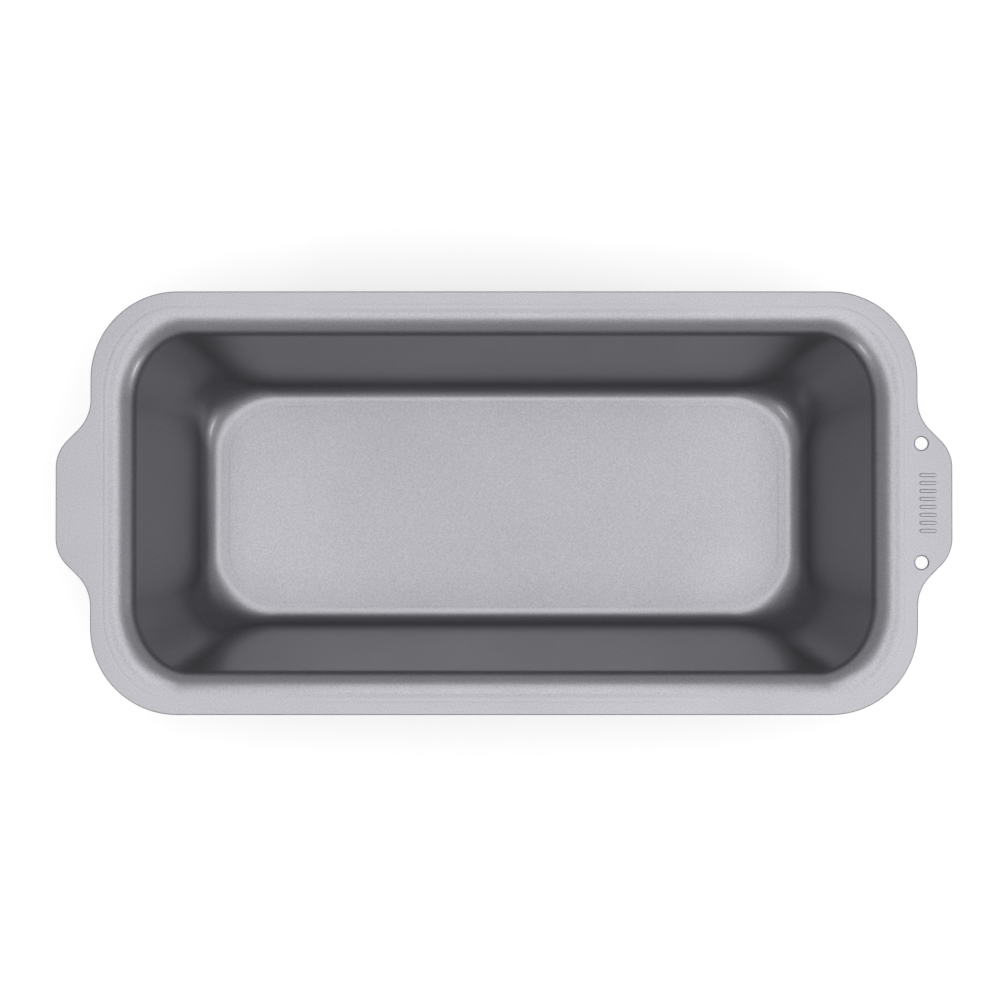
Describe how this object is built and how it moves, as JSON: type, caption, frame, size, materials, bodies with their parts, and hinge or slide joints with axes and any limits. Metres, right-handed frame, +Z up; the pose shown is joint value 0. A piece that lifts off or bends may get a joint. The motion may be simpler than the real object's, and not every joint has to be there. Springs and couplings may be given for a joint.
{
  "type": "loaf pan",
  "caption": "Rectangular deep-drawn loaf pan with drafted walls, rounded corners, a flat rim and a grip tab at each end.",
  "frame": {"origin": "centre of the underside of the floor, on which the pan stands", "axes": "+X along the pan towards the tab with the hanging holes, +Z up out of the open mouth"},
  "size_m": [0.2822, 0.1334, 0.07],
  "materials": {
    "nonstick_coating": "satin grey metallic non-stick coating on sheet steel"
  },
  "bodies": {
    "root": {"pan_body": "nonstick_coating"}
  },
  "joints": []
}
